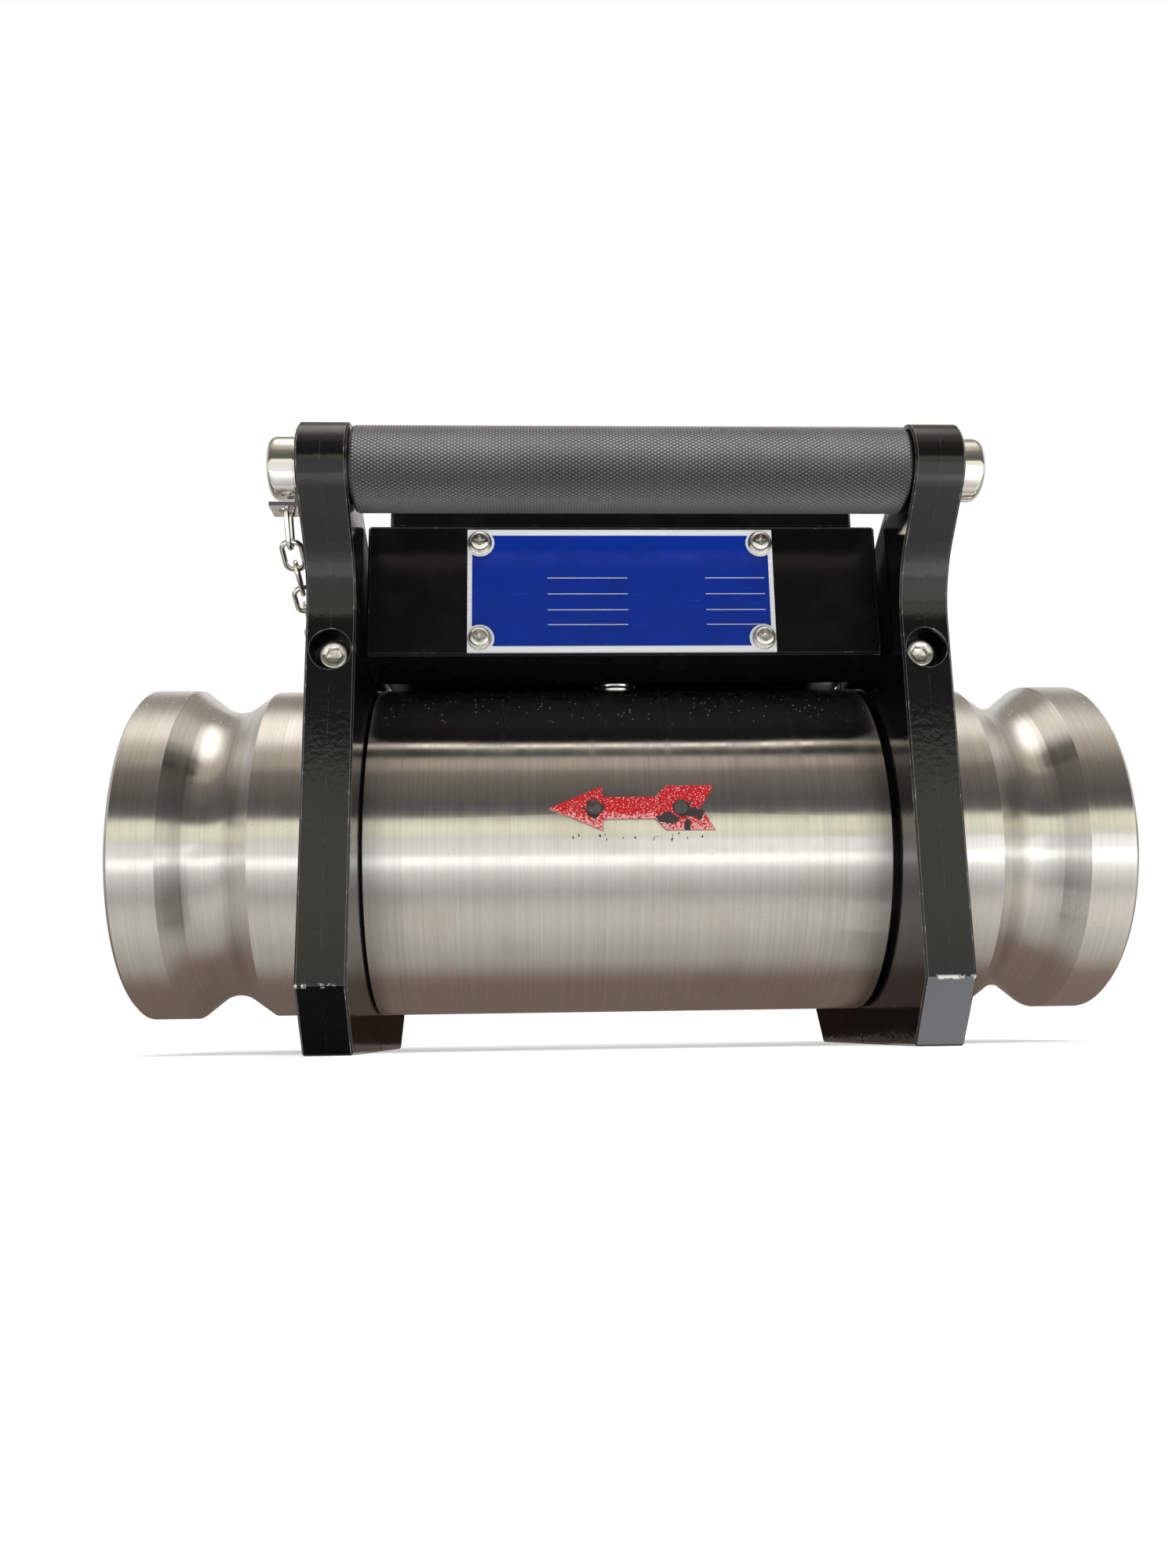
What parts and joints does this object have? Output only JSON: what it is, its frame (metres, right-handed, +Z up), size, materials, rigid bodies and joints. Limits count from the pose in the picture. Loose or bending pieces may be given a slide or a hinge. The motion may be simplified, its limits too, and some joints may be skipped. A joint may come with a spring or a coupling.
{
  "type": "portable flow meter",
  "caption": "In-line turbine flow meter with cam-groove pipe ends, split clamp plates as feet, a knurled carrying bar, and an instrument housing on top.",
  "frame": {"origin": "middle of the meter's footprint, on the surface that its plates stand on", "axes": "+X along the pipe towards the inlet, +Y away from the carrying bar, +Z up"},
  "size_m": [0.2576, 0.1403, 0.1488],
  "materials": {
    "turned_steel": "turned stainless steel with fine lines round the pipe",
    "satin_steel": "satin brushed stainless steel",
    "bright_steel": "polished steel",
    "screw_steel": "bright zinc-plated steel",
    "dark_steel": "dark spring steel",
    "black_paint": "glossy black paint with a light orange peel",
    "black_grip": "black anodised diamond knurl",
    "red_paint": "worn red paint",
    "blue_plate": "royal blue printed plate with bare metal lines",
    "cover_paint": "satin black paint",
    "rotor_steel": "machined stainless steel",
    "bearing_carbon": "carbon-filled bearing resin",
    "black_rubber": "black rubber",
    "clear_pane": "clear pane",
    "display_face": "grey-green liquid crystal",
    "board_green": "green circuit board",
    "brass": "plain brass",
    "switch_black": "black moulded plastic",
    "battery_wrap": "shrink-wrapped cells"
  },
  "bodies": {
    "meter": {"meter_body": "turned_steel", "flow_arrow": "red_paint", "arrow_rivets": "dark_steel", "inlet_straightener": "rotor_steel", "outlet_straightener": "rotor_steel", "inlet_bearing": "bearing_carbon", "outlet_bearing": "bearing_carbon", "inlet_circlip": "dark_steel", "outlet_circlip": "dark_steel", "pickup_boss": "satin_steel", "pickup_sensor": "switch_black", "pickup_locknut": "brass", "left_plate_front": "black_paint", "left_plate_rear": "black_paint", "right_plate_front": "black_paint", "right_plate_rear": "black_paint", "upper_clamp_screws": "screw_steel", "lower_clamp_screws": "screw_steel", "handle_bar": "black_grip", "left_handle_cap": "bright_steel", "right_handle_cap": "bright_steel", "chain_eyelet": "bright_steel", "tether_chain": "bright_steel", "chain_ring": "bright_steel", "instrument_housing": "cover_paint", "cover_gasket": "black_rubber", "top_cover": "cover_paint", "display_window": "clear_pane", "cover_screws": "screw_steel", "circuit_board": "board_green", "board_standoffs": "brass", "board_screws": "screw_steel", "key_switches": "switch_black", "battery_pack": "battery_wrap", "display_panel": "display_face", "nameplate": "blue_plate", "nameplate_screws": "screw_steel", "nameplate_washers": "screw_steel"},
    "turbine": {"rotor": "rotor_steel", "rotor_shaft": "bright_steel"},
    "left_button": {"left_button": "black_rubber"},
    "middle_button": {"middle_button": "black_rubber"},
    "right_button": {"right_button": "black_rubber"}
  },
  "joints": [
    {"name": "rotor_spin", "type": "hinge", "parent": "meter", "child": "turbine", "pos_m": [0, 0.01015, 0.0553], "axis": [1, 0, 0], "continuous": true},
    {"name": "left_button_press", "type": "slide", "parent": "meter", "child": "left_button", "axis": [0, 0, -1], "range_m": [0, 0.001], "stiffness_N_per_m": 1200},
    {"name": "middle_button_press", "type": "slide", "parent": "meter", "child": "middle_button", "axis": [0, 0, -1], "range_m": [0, 0.001], "stiffness_N_per_m": 1200},
    {"name": "right_button_press", "type": "slide", "parent": "meter", "child": "right_button", "axis": [0, 0, -1], "range_m": [0, 0.001], "stiffness_N_per_m": 1200}
  ]
}
